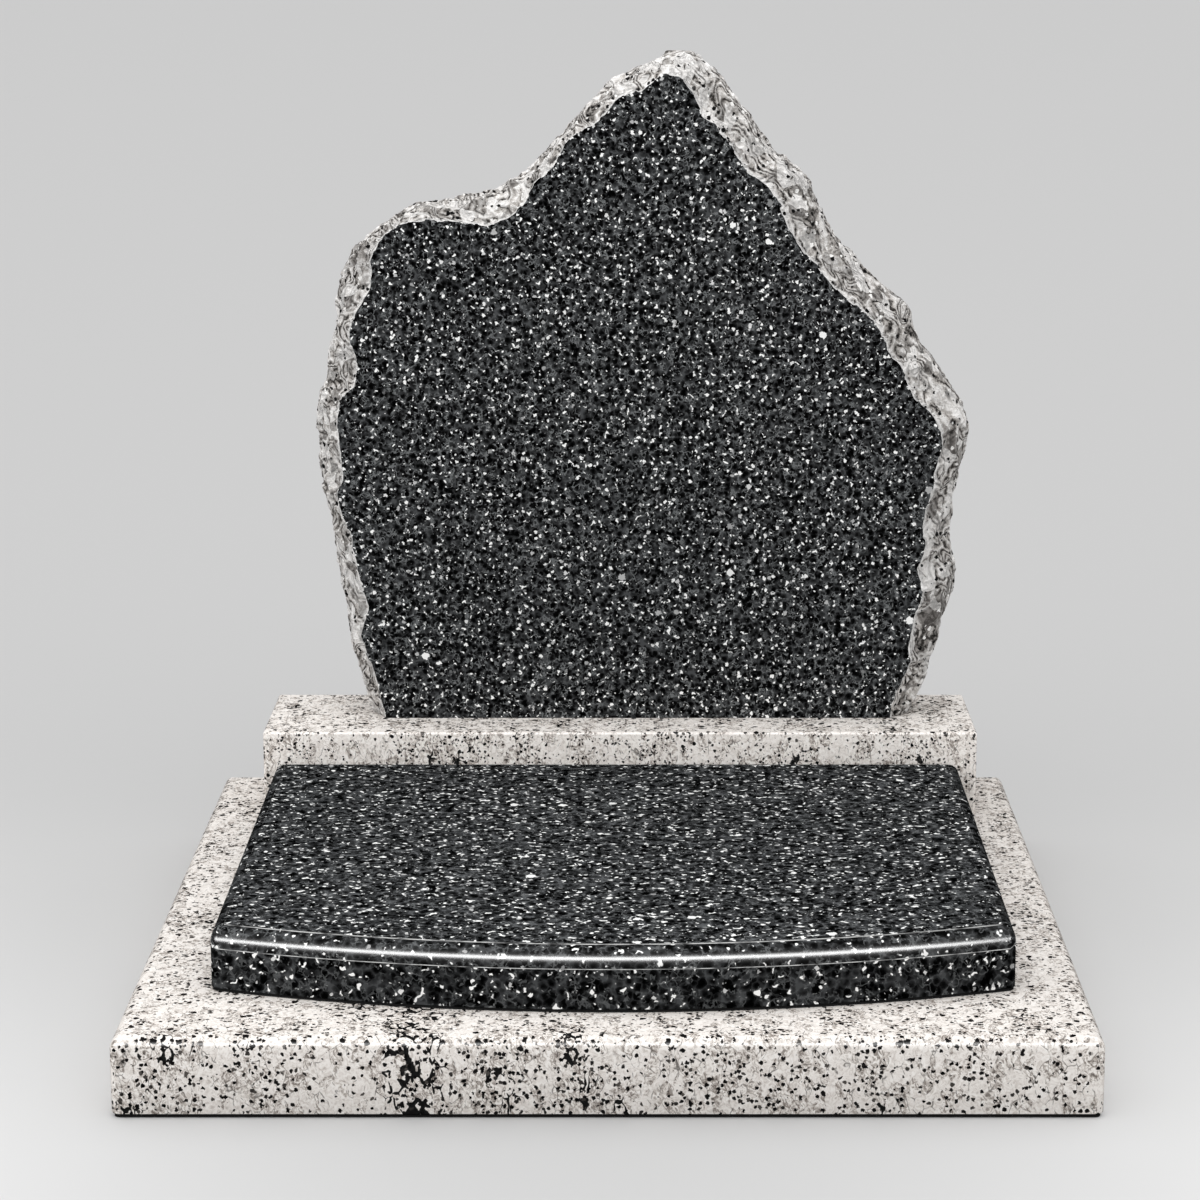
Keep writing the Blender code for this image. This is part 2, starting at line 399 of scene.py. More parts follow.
# The plinth's cream is painted paler than the base's, to make up for the shade it stands in behind the
# dark cover slab: painted light.
plinth_granite = light_granite("plinth granite", 5.7, 0.57, 1.08)
print(base_granite.name, "takes", len(base_granite.node_tree.nodes), "nodes")

# %% [markdown]
# ## Dark granite
#
# The cover slab and the face of the headstone are a dark, polished granite. Round black crystals
# sit close together in a charcoal ground. Thin grey threads curl between them, crisp white specks
# fill the gaps, and a few larger pale crystals are scattered over the whole.

# %% Dark granite
CHARCOAL_TINT = np.array([0.94, 0.98, 1.02])
CHARCOAL_GREYS = ((0.28, 0.0008), (0.44, 0.0037), (0.60, 0.0133), (0.84, 0.0303), (1.0, 0.0590))
# For each size of white crystal: cells to the metre, share of them that are white, the least and
# greatest radius as a share of the cell, and how soft its border is.
WHITE_CRYSTALS = ((195.0, 0.16, 0.20, 0.46, 0.06), (45.0, 0.05, 0.12, 0.22, 0.02))


def dark_granite(name, seed, roughness, shine=0.5, coarse=1.0, threads=1.0, tone=1.0, whites=1.0):
    """Charcoal granite: the distance from the middle of a Voronoi cell goes from a black core to a
    charcoal rim, in a tone that the cell's dice pick. Grey threads run on the borders of a second
    set of cells where a noise lets them. White specks are the peaks of a fine curly noise, and
    cells whose dice fall low are small white crystals, some of them grey, and a few larger pale
    ones. tone brightens or darkens the charcoal, and whites is the share of the white crystals that
    stays."""
    r = StoneRecipe(name)
    home = r.move("ADD", r.place, (seed, seed * 0.7, seed * 0.3))
    bent = r.warp(home, 170.0 / coarse, 0.0022 * coarse, detail=2.0)
    ragged = r.warp(home, 300.0 / coarse, 0.0030 * coarse)

    distance, cell = r.crystals(bent, 145.0 / coarse)
    shade = r.parts(cell)[1]
    curls = r.noise(home, 205.0 / coarse, detail=1.0, roughness=0.45, distortion=0.4)
    rim = r.sum("ADD", distance, r.between(shade, 0.0, 1.0, -0.10, 0.30))
    rim = r.sum("ADD", rim, r.between(curls, 0.3, 0.7, -0.10, 0.10))
    charcoal = CHARCOAL_TINT * tone
    ground = r.ramp(rim, [(place, tuple(charcoal * grey)) for place, grey in CHARCOAL_GREYS])
    border = r.crystals(ragged, 150.0 / coarse, feature="DISTANCE_TO_EDGE")[0]
    let_through = r.noise(home, 120.0 / coarse, detail=1.0)
    thin = r.between(border, 0.03, 0.10, threads, 0.0)
    thread = r.sum("MULTIPLY", thin, r.between(let_through, 0.47, 0.57))
    ground = r.mix(thread, ground, (0.150, 0.157, 0.160))

    peaks = r.sum("ADD", curls, r.between(let_through, 0.3, 0.7, -0.02, 0.02))
    peaks = r.sum("SUBTRACT", peaks, 0.04 * (1.0 - whites))
    colour = r.mix(r.between(peaks, 0.640, 0.660), ground, (0.19, 0.195, 0.195))
    colour = r.mix(r.between(peaks, 0.680, 0.688), colour, (0.95, 0.95, 0.94))

    for scale, share, small, wide, soft in WHITE_CRYSTALS:
        distance, dice = r.crystals(ragged, scale / coarse)
        fall, size, shade = r.parts(dice)
        present = r.between(fall, share * whites, share * whites + 0.01, 1.0, 0.0)
        reach = r.between(size, 0.0, 1.0, small, wide)
        inside = r.between(r.sum("SUBTRACT", reach, distance), 0.0, soft)
        pale = r.ramp(shade, [
            (0.0, (0.10, 0.104, 0.105)), (0.35, (0.50, 0.50, 0.50)), (0.7, (0.92, 0.92, 0.91)),
        ])
        colour = r.mix(r.sum("MULTIPLY", present, inside), colour, pale)
    return r.finish(colour, roughness, shine=shine)


def cover_polish_and_painted_light(name, **looks):
    """The cover slab's granite, coarser than the headstone's, with one of its polishes; the paler
    tones that the nose and the top get are painted light.
    """
    return dark_granite(name, 1.3, coarse=1.3, **looks)


# The top's charcoal is painted much paler than the front's, and the nose's a little paler: painted
# light for the light that falls on them from above.
cover_granite = cover_polish_and_painted_light(
    "cover granite", roughness=0.12, shine=0.4, threads=0.45, tone=1.1, whites=0.85)
nose_granite_painted_paler = cover_polish_and_painted_light(
    "cover granite, nose", roughness=0.25, shine=1.0, threads=0.6, tone=1.2, whites=0.4)
top_granite_painted_paler = cover_polish_and_painted_light(
    "cover granite, top", roughness=0.12, shine=0.4, threads=0.7, tone=1.6)
face_granite = dark_granite("face granite", 7.9, roughness=0.24, tone=1.16)
print(face_granite.name, "takes", len(face_granite.node_tree.nodes), "nodes")

# %% [markdown]
# ## The split margin
#
# Where a dark granite is split with a chisel, it turns pale: each broken crystal scatters the
# light. The margin is a light warm grey with dark and white streaks that lean across it, and its
# small chips are a bump on top of the larger ones that the mesh has.

# %% Split granite
def split_granite(name):
    """Broken granite. Level lines of a broad noise, folded to and fro like a wave, give bundles of
    curved strands. A Voronoi cell's dice lightens or darkens each facet: painted light and shade for
    chips that face different ways. Small cells are near-black spots and white grains, and the mesh's
    own number near_face, 1 at the edge of the polished face, draws the bruised pale line there."""
    r = StoneRecipe(name)
    bent = r.warp(r.place, 55.0, 0.006, detail=1.0)
    leaning = r.stretch(r.turn(bent, 35.0), (1.0, 1.0, 0.6))
    field = r.noise(leaning, 26.0, detail=1.0, roughness=0.45, distortion=0.9)
    folds = r.sum("PINGPONG", r.sum("MULTIPLY", field, 19.0), 1.0)
    fine = r.noise(bent, 260.0, detail=3.0, roughness=0.65)
    strand = r.sum("ADD", folds, r.between(fine, 0.25, 0.75, -0.32, 0.32))
    colour = r.ramp(strand, [
        (0.02, (0.035, 0.031, 0.028)), (0.20, (0.20, 0.187, 0.175)), (0.45, (0.44, 0.415, 0.393)),
        (0.75, (0.63, 0.606, 0.583)), (0.98, (0.84, 0.825, 0.81)),
    ])
    # Each facet is painted lighter or darker by its dice: painted light and shade for chips that face
    # different ways.
    facet_light_and_shade = r.parts(r.crystals(r.stretch(bent, (1.0, 1.0, 0.8)), 62.0)[1])[0]
    colour = r.mix(r.between(facet_light_and_shade, 0.35, 0.0, 0.0, 0.62), colour, (0.14, 0.130, 0.122))
    colour = r.mix(r.between(facet_light_and_shade, 0.62, 0.9, 0.0, 0.62), colour, (0.92, 0.905, 0.89))

    near_face = r.tree.nodes.new("ShaderNodeAttribute")
    near_face.attribute_name = "near_face"
    frayed = r.sum("ADD", near_face.outputs["Fac"], r.between(fine, 0.3, 0.7, -0.2, 0.2))
    colour = r.mix(r.between(frayed, 0.25, 0.75, 0.0, 0.75), colour, (0.84, 0.83, 0.82))

    distance, dice = r.crystals(r.warp(r.place, 330.0, 0.0018), 165.0)
    fall, size, _ = r.parts(dice)
    inside = r.between(r.sum("SUBTRACT", r.between(size, 0.0, 1.0, 0.24, 0.52), distance), 0.0, 0.06)
    dark_spot = r.sum("MULTIPLY", r.between(fall, 0.17, 0.18, 1.0, 0.0), inside)
    colour = r.mix(dark_spot, colour, (0.008, 0.008, 0.008))
    chalk = r.sum("MULTIPLY", r.between(fall, 0.86, 0.87), inside)
    colour = r.mix(chalk, colour, (0.95, 0.94, 0.92))
    normal = r.bump(strand, 0.8, 0.004)
    return r.finish(colour, 0.62, normal, shine=DULL_SHINE)


margin_granite = split_granite("split granite")
print(margin_granite.name, "takes", len(margin_granite.node_tree.nodes), "nodes")

# %% Sawn granite
SAWN_GREYS = ((0.0, 0.09), (0.5, 0.16), (1.0, 0.26))


def sawn_granite(name):
    """The sawn back: the dark granite without its polish, so greyer and dull, with faint level saw
    lines."""
    r = StoneRecipe(name)
    tone = r.parts(r.crystals(r.warp(r.place, 150.0, 0.0022), 190.0)[1])[1]
    colour = r.ramp(tone, [(place, (grey, grey, grey)) for place, grey in SAWN_GREYS])
    distance, dice = r.crystals(r.warp(r.place, 420.0, 0.0009), 200.0)
    present = r.between(r.parts(dice)[0], 0.10, 0.12, 1.0, 0.0)
    speck = r.sum("MULTIPLY", present, r.between(distance, 0.28, 0.36, 1.0, 0.0))
    colour = r.mix(speck, colour, (0.62, 0.61, 0.60))
    saw = r.noise(r.stretch(r.place, (0.6, 1.0, 60.0)), 6.0, detail=3.0, roughness=0.7)
    return r.finish(colour, 0.7, r.bump(saw, 0.25, 0.0012), shine=DULL_SHINE)


back_granite = sawn_granite("sawn granite")
print(back_granite.name, "takes", len(back_granite.node_tree.nodes), "nodes")

# %% [markdown]
# ## Base slab and plinth: rounded blocks
#
# A polisher rounds the long edges of a block and eases its upright corners. Seen from above, every
# level of such a block is a rectangle with round corners, and near the top and the foot the
# rectangle is a little smaller. So the block is a stack of rings: a plan that shrinks by the inset
# which a quarter circle gives at each height.

# %% Helper: a block with rounded edges
GRANITE, JOINT_SHADOW_SLOT = 0, 1
LEAST_ROUND = 0.0006
BLOCK_SHARP = 40.0


def corner_plan(half_width, half_depth, radius, steps=10):
    """Plan of a rectangle with round corners, counter-clockwise: at each corner a quarter circle of
    that radius round a centre that lies the radius inside both sides."""
    turn = np.linspace(0.0, math.pi / 2, steps)
    quarters = []
    for quarter, (sx, sy) in enumerate(((1, 1), (-1, 1), (-1, -1), (1, -1))):
        angle = turn + quarter * math.pi / 2
        quarters.append(np.stack([
            sx * (half_width - radius) + radius * np.cos(angle),
            sy * (half_depth - radius) + radius * np.sin(angle),
        ], axis=-1))
    return np.concatenate(quarters)


def quarter_profile(height, joint, top_radius, steps=9):
    """Insets and heights of a wall: a set-back joint at the foot, given as (inset, rise), the
    upright wall, and a quarter round at the top, whose inset is r*(1-cos t) and whose height is
    r*(1-sin t) below the top."""
    inset, rise = joint
    turn = np.linspace(0.0, math.pi / 2, steps)
    foot = np.array([[inset, 0.0], [inset, rise], [LEAST_ROUND, rise + 0.0002], [0.0, rise + 0.0010]])
    top = np.stack([top_radius * (1 - np.cos(turn)), height - top_radius * (1 - np.sin(turn))], axis=-1)
    return np.concatenate([foot, top])


def rounded_block(name, low, high, corner_radius, joint, top_radius, material):
    """A block between two box corners: the plan shrinks by each inset of the profile, and rises to
    its height. The two lowest bands, the joint, are painted near black as a contact shadow."""
    middle = (low + high) / 2
    half = (high - low) / 2
    rings = []
    for inset, height in quarter_profile(high[2] - low[2], joint, top_radius):
        plan = corner_plan(half[0] - inset, half[1] - inset, max(corner_radius - inset, LEAST_ROUND))
        level = np.full((len(plan), 1), low[2] + height)
        rings.append(np.concatenate([plan + middle[:2], level], axis=1))
    slots = np.zeros((len(rings) - 1, len(rings[0])), dtype=int)
    slots[:2] = JOINT_SHADOW_SLOT
    piece = stone_from_rings(
        name, np.array(rings), [material, joint_shadow_paint], band_slots=slots, lid_slots=(JOINT_SHADOW_SLOT, GRANITE))
    piece.data.set_sharp_from_angle(angle=math.radians(BLOCK_SHARP))
    return piece


# %% [markdown]
# The base slab has a wide round along its top and a joint 3 mm deep on the ground. The plinth is
# only eased at its edges, and its joint is half as deep.

# %% Base slab and plinth
base_slab = rounded_block(
    "base_slab_stone", BASE_LOW, BASE_HIGH,
    corner_radius=0.009, joint=(0.0030, 0.0042), top_radius=0.013, material=base_granite)
place_of_stone(base_slab, "base_slab")
plinth = rounded_block(
    "plinth_stone", PLINTH_LOW, PLINTH_HIGH,
    corner_radius=0.004, joint=(0.0014, 0.0024), top_radius=0.003, material=plinth_granite)
place_of_stone(plinth, "plinth")

# %% [markdown]
# ## Cover slab: a bowed front with a round nose
#
# The cover slab closes the plot. Its sides are straight, its front is a flat arc, and a wide round
# nose runs along that arc. Two fine ledges, above and below the nose, are left where the profile
# wheel stopped: they catch the light as thin lines, which their pale grey partly paints. The sides
# have a smaller round and a ledge of a quarter of that width, so the rounding grows through the
# front corners. A joint is set back under the slab, painted near black as a contact shadow. The
# upright face, the nose and the top each have their own polish. The nose has a slightly paler
# charcoal and the top a much paler one: painted light, for the light that falls on them from above.

# %% Helper: plan and profile of the cover slab
COVER_BOW = 0.070
NOSE_RADIUS = 0.0195
SIDE_RADIUS = 0.013
FRONT_CORNER_RADIUS = 0.011
LEAST_CORNER = 0.0008
LEDGE = 0.0009
LEDGE_DROP, LEDGE_RUN = 1.7, 1.8
SIDE_LEDGE = LEDGE / 4
BACK_INSET = 0.0015
BAND = 0.004
COVER_SHARP = 28.0
SIDE_STEPS, CORNER_STEPS, FRONT_STEPS = 30, 14, 220
LEDGE_SLOT, NOSE_SLOT, TOP_SLOT = 2, 3, 4


def bowed_plan(front_inset, side_inset, back_inset, corner_radius):
    """Plan of the cover slab, counter-clockwise from its back left corner, and how far each point
    belongs to the bowed front (0 on the sides, 1 on the arc). The arc's radius is R = c*c/(8*b) +
    b/2 for a chord c and a bow b. A corner's round has its centre at the corner radius inside the
    side, and at R minus that radius from the centre of the arc, so it touches both."""
    chord = COVER_HIGH[0] - COVER_LOW[0]
    centre_x = (COVER_HIGH[0] + COVER_LOW[0]) / 2
    arc_radius = chord ** 2 / (8 * COVER_BOW) + COVER_BOW / 2
    arc_centre_y = COVER_LOW[1] + arc_radius
    radius = arc_radius - front_inset
    half = chord / 2 - side_inset
    spread = math.asin((half - corner_radius) / (radius - corner_radius))
    corner_y = arc_centre_y - (radius - corner_radius) * math.cos(spread)
    back_y = COVER_HIGH[1] - back_inset
    side_y = np.linspace(back_y, corner_y, SIDE_STEPS, endpoint=False)
    left = np.stack([np.full(SIDE_STEPS, -half), side_y], axis=-1)
    turn = np.linspace(math.pi, 1.5 * math.pi - spread, CORNER_STEPS, endpoint=False)
    corner_x = -half + corner_radius
    left_corner = np.stack([
        corner_x + corner_radius * np.cos(turn), corner_y + corner_radius * np.sin(turn)], axis=-1)
    sweep = np.linspace(-spread, spread, FRONT_STEPS)
    front = np.stack([radius * np.sin(sweep), arc_centre_y - radius * np.cos(sweep)], axis=-1)
    right_corner = left_corner[::-1] * (-1, 1)
    right = left[::-1] * (-1, 1)
    plan = np.concatenate([left, left_corner, front, right_corner, right]) + (centre_x, 0.0)
    grow = np.linspace(0.0, 1.0, CORNER_STEPS)
    share = np.concatenate([
        np.zeros(SIDE_STEPS), grow, np.ones(FRONT_STEPS), grow[::-1], np.zeros(SIDE_STEPS)])
    return plan, share


def nose_profile(radius, ledge, height, joint=(0.0014, 0.0030), steps=13):
    """Insets and heights from the foot to the top: the set-back joint, the upright face, a slanted
    ledge, the round nose as a quarter circle, and a slanted ledge up to the flat top. The lower ledge
    drops and the upper one runs inwards by a little less than twice its width. A narrow band stays
    level or upright beside each ledge, so the shading does not run over it."""
    inset, rise = joint
    turn = np.linspace(0.0, math.pi / 2, steps)
    low = height - radius - ledge * LEDGE_DROP
    rim = ledge * LEDGE_RUN + radius
    foot = np.array([[inset, 0.0], [inset, rise], [0.0, rise + 0.0004], [0.0, low - BAND], [0.0, low]])
    nose = np.stack([
        ledge + radius * (1 - np.cos(turn)), height - ledge - radius * (1 - np.sin(turn))], axis=-1)
    top = np.array([[rim, height], [rim + BAND, height]])
    return np.concatenate([foot, nose, top])


def cover_slab_rings():
    """Rings of the cover slab: the nose profile on the front, and the same profile with a smaller
    radius and ledge on the sides, mixed by how far each point belongs to the front."""
    height = COVER_HIGH[2] - COVER_LOW[2]
    front = nose_profile(NOSE_RADIUS, LEDGE, height)
    side = nose_profile(SIDE_RADIUS, SIDE_LEDGE, height)
    rings = []
    for (front_inset, front_z), (side_inset, side_z) in zip(front, side):
        corner = max(FRONT_CORNER_RADIUS - side_inset, LEAST_CORNER)
        plan, share = bowed_plan(front_inset, side_inset, min(side_inset, BACK_INSET), corner)
        level = COVER_LOW[2] + side_z + (front_z - side_z) * share
        rings.append(np.concatenate([plan, level[:, None]], axis=1))
    return np.array(rings)


# %% [markdown]
# From the foot up, the bands between the rings are: two of the joint, painted near black as a
# contact shadow, two of the upright face, the lower ledge, the nose, the upper ledge, and the rim of
# the top.

# %% Cover slab
cover_rings = cover_slab_rings()
cover_slots = np.full((cover_rings.shape[0] - 1, cover_rings.shape[1]), GRANITE)
cover_slots[:2] = JOINT_SHADOW_SLOT
cover_slots[[4, -2]] = LEDGE_SLOT
cover_slots[5:-2] = NOSE_SLOT
cover_slots[-1] = TOP_SLOT
cover_slab = stone_from_rings(
    "cover_slab_stone", cover_rings, [cover_granite, joint_shadow_paint, ledge_scratches_and_glint, nose_granite_painted_paler, top_granite_painted_paler],
    band_slots=cover_slots, lid_slots=(JOINT_SHADOW_SLOT, TOP_SLOT))
cover_slab.data.set_sharp_from_angle(angle=math.radians(COVER_SHARP))
place_of_stone(cover_slab, "cover_slab")

# %% [markdown]
# ## Headstone: the outline of the boulder
#
# The stone was split from a boulder, sawn flat at the foot and the face, and the edge of the face
# was pitched back with a chisel. Two lines describe it from the front: the scalloped edge of the
# polished face, and outside it the widest line of the rough margin. They are drawn as pairs of
# points, clockwise from the left foot, in millimetres from the middle of the foot, for a stone
# 805 mm wide and 820 mm high.

# %% Two lines of the headstone
STONE_MIDDLE = 0.031
DRAWN_WIDTH, DRAWN_HEIGHT = 805.0, 820.0
STATIONS = np.array([
    (-314, 0, -332, 0), (-318, 23, -340, 20), (-327, 58, -348, 52), (-344, 106, -362, 105),
    (-334, 140, -364, 137), (-348, 186, -375, 192), (-355, 232, -379, 238), (-370, 281, -391, 290),
    (-364, 310, -395, 325), (-368, 376, -395, 363), (-360, 404, -393, 398), (-348, 420, -385, 424),
    (-345, 449, -380, 450), (-352, 478, -373, 482), (-344, 505, -371, 512), (-325, 534, -365, 545),
    (-324, 572, -353, 573), (-311, 599, -336, 594), (-288, 617, -299, 620), (-262, 620, -271, 635),
    (-230, 619, -240, 642), (-196, 615, -205, 645), (-172, 616, -172, 653), (-148, 629, -154, 663),
    (-128, 658, -138, 673), (-103, 686, -115, 695), (-83, 717, -93, 721), (-59, 734, -70, 750),
    (-40, 746, -50, 769), (-22, 766, -30, 785), (-1, 774, -4, 798), (12, 782, 18, 806),
    (27, 796, 38, 817), (42, 792, 56, 820), (57, 785, 75, 815), (69, 768, 90, 802),
    (77, 747, 105, 785), (93, 736, 120, 764), (107, 719, 136, 741), (119, 698, 151, 720),
    (132, 679, 167, 700), (157, 661, 187, 686), (171, 641, 207, 667), (181, 619, 214, 650),
    (199, 587, 227, 622), (218, 565, 242, 594), (241, 541, 263, 574), (259, 521, 281, 553),
    (281, 503, 305, 531), (294, 490, 328, 512), (302, 474, 337, 487), (309, 453, 348, 462),
    (323, 438, 366, 440), (330, 420, 382, 415), (344, 398, 400, 388), (360, 383, 409, 370),
    (367, 368, 410, 357), (373, 347, 404, 337), (367, 321, 398, 312), (360, 278, 393, 286),
    (355, 247, 391, 250), (354, 212, 389, 229), (348, 191, 392, 200), (352, 172, 396, 184),
    (351, 146, 390, 144), (342, 127, 382, 120), (337, 96, 377, 97), (337, 68, 369, 68),
    (328, 40, 356, 31), (318, 14, 346, 12), (314, 0, 340, 0),
], dtype=float)
print(len(STATIONS), "stations round the stone")

# %% [markdown]
# A curve through the stations makes the lines flow. A Catmull-Rom curve is the plain choice:
# between two stations it leaves the first in the direction that runs from the station before it to
# the one after it.

# %% Helper: a curve through the stations
STATION_STEPS = 6000


def through_stations(stations, where):
    """Catmull-Rom curve. where is a number of stations from the first: its whole part picks the
    stretch from p1 to p2, its rest t gives 0.5*(2*p1 + (p2-p0)*t + (2*p0-5*p1+4*p2-p3)*t^2 +
    (3*p1-p0-3*p2+p3)*t^3)."""
    last = len(stations) - 1
    stretch = np.clip(np.floor(where).astype(int), 0, last - 1)
    t = (where - stretch)[:, None]
    p0, p1, p2, p3 = (stations[np.clip(stretch + step, 0, last)] for step in (-1, 0, 1, 2))
    return 0.5 * (
        2 * p1 + (p2 - p0) * t
        + (2 * p0 - 5 * p1 + 4 * p2 - p3) * t ** 2
        + (3 * p1 - p0 - 3 * p2 + p3) * t ** 3
    )


def even_stations(stations, count):
    """count places along the curve with even steps of arc length on the line between the two drawn
    ones."""
    fine = np.linspace(0.0, len(stations) - 1.0, STATION_STEPS)
    drawn = through_stations(stations, fine)
    middle = (drawn[:, :2] + drawn[:, 2:]) / 2
    walked = np.concatenate([[0.0], np.cumsum(np.linalg.norm(np.diff(middle, axis=0), axis=1))])
    return np.interp(np.linspace(0.0, walked[-1], count), walked, fine), walked[-1]


# %% [markdown]
# ## Chips: bowls that meet in ridges
#
# A chisel knocks off shell-shaped chips. Each leaves a shallow bowl, and neighbouring bowls meet in
# a sharp ridge. The distance to the nearest of many scattered points has just this shape when it is
# squared: a bowl round each point, and a ridge where two are equally near. Three sizes of bowls are
# laid over each other.

# %% Helper: bowls and ridges
STIR_U, STIR_V, STIR_SEED, STIR_AGAIN = 374761393, 668265263, 974634777, 1274126177
LARGEST = 0xFFFFFFFF
FAR = 9.0


def dice(cells_u, cells_v, seed):
    """A repeatable random number from 0 to 1 for each pair of whole numbers: large odd factors stir
    the bits, and the lowest 32 of them are kept."""
    mixed = cells_u.astype(np.int64) * STIR_U + cells_v.astype(np.int64) * STIR_V + seed * STIR_SEED
    mixed = (mixed ^ (mixed >> 13)) * STIR_AGAIN
    return ((mixed ^ (mixed >> 16)) & LARGEST) / LARGEST


def bowls(u, v, wide, high, seed):
    """Squared distance to the nearest scattered point, with one point in each cell of wide by high:
    0 in the middle of a bowl, up to about 1 on a ridge. Gives the dice of the nearest point too."""
    cu, cv = np.floor(u / wide), np.floor(v / high)
    nearest = np.full(u.shape, FAR)
    owner = np.zeros(u.shape)
    for du in (-1, 0, 1):
        for dv in (-1, 0, 1):
            su, sv = cu + du, cv + dv
            away_u = su + dice(su, sv, seed) - u / wide
            away_v = sv + dice(su, sv, seed + 1) - v / high
            away = away_u ** 2 + away_v ** 2
            closer = away < nearest
            nearest = np.where(closer, away, nearest)
            owner = np.where(closer, dice(su, sv, seed + 2), owner)
    return nearest, owner


def waves(u, v, size, seed):
    """Smooth random heights from 0 to 1: the dice of the four nearest cell corners, mixed by smooth
    steps."""
    x, y = u / size, v / size
    cx, cy = np.floor(x), np.floor(y)
    tx, ty = x - cx, y - cy
    tx, ty = tx * tx * (3 - 2 * tx), ty * ty * (3 - 2 * ty)
    low = dice(cx, cy, seed) * (1 - tx) + dice(cx + 1, cy, seed) * tx
    high = dice(cx, cy + 1, seed) * (1 - tx) + dice(cx + 1, cy + 1, seed) * tx
    return low * (1 - ty) + high * ty


# %% [markdown]
# ## Headstone: the split block
#
# The surface has two parameters. One runs round the outline from foot to foot, the other runs from
# the edge of the polished face, out over the margin to its widest line, and in again to the edge of
# the sawn back. Chips push this surface inwards, near the face within the plane of the face, so
# that the face stays flat and its edge becomes scalloped.

# %% Helper: the headstone's surface
ROUND_COUNT = 1180
FOOT_COUNT = 60
MARGIN_RINGS = 66
PROFILE_STEPS = 400
# Share of the thickness and of the way out to the widest line, from the face to the back.
MARGIN_PROFILE = np.array([
    (0.0, 0.0), (0.10, 0.42), (0.23, 0.80), (0.40, 1.0), (0.66, 0.96), (0.86, 0.66), (1.0, 0.22),
])
# How far the margin reaches out, how far from its edges the chips lean and calm down, and how far
# the bruised line beside the face reaches.
MARGIN_REACH = 0.032
LEAN_REACH = 0.012
CALM_REACH = 0.010
BRUISE_REACH = 0.0045
# For each size of bowl: width, height, seed, share of the sway, depth and least share of the depth.
BOWL_SIZES = (
    (0.046, 0.030, 11, 1.0, 0.0060, 0.35),
    (0.017, 0.011, 23, 0.6, 0.0038, 0.30),
    (0.0065, 0.0042, 37, 0.0, 0.0014, 0.30),
)
# The bowls sway and stand aslant, a fine grain lies over them, they are shallower at the edges, and
# three quarters of their mean depth is given back, so that the stone keeps its size.
SWAY_SIZE, SWAY_REACH, SLANT = 0.030, 0.016, 0.55
GRAIN_SIZE, GRAIN_DEPTH = 0.009, 0.0020
CALM_LEAST = 0.60
GIVEN_BACK = 0.75


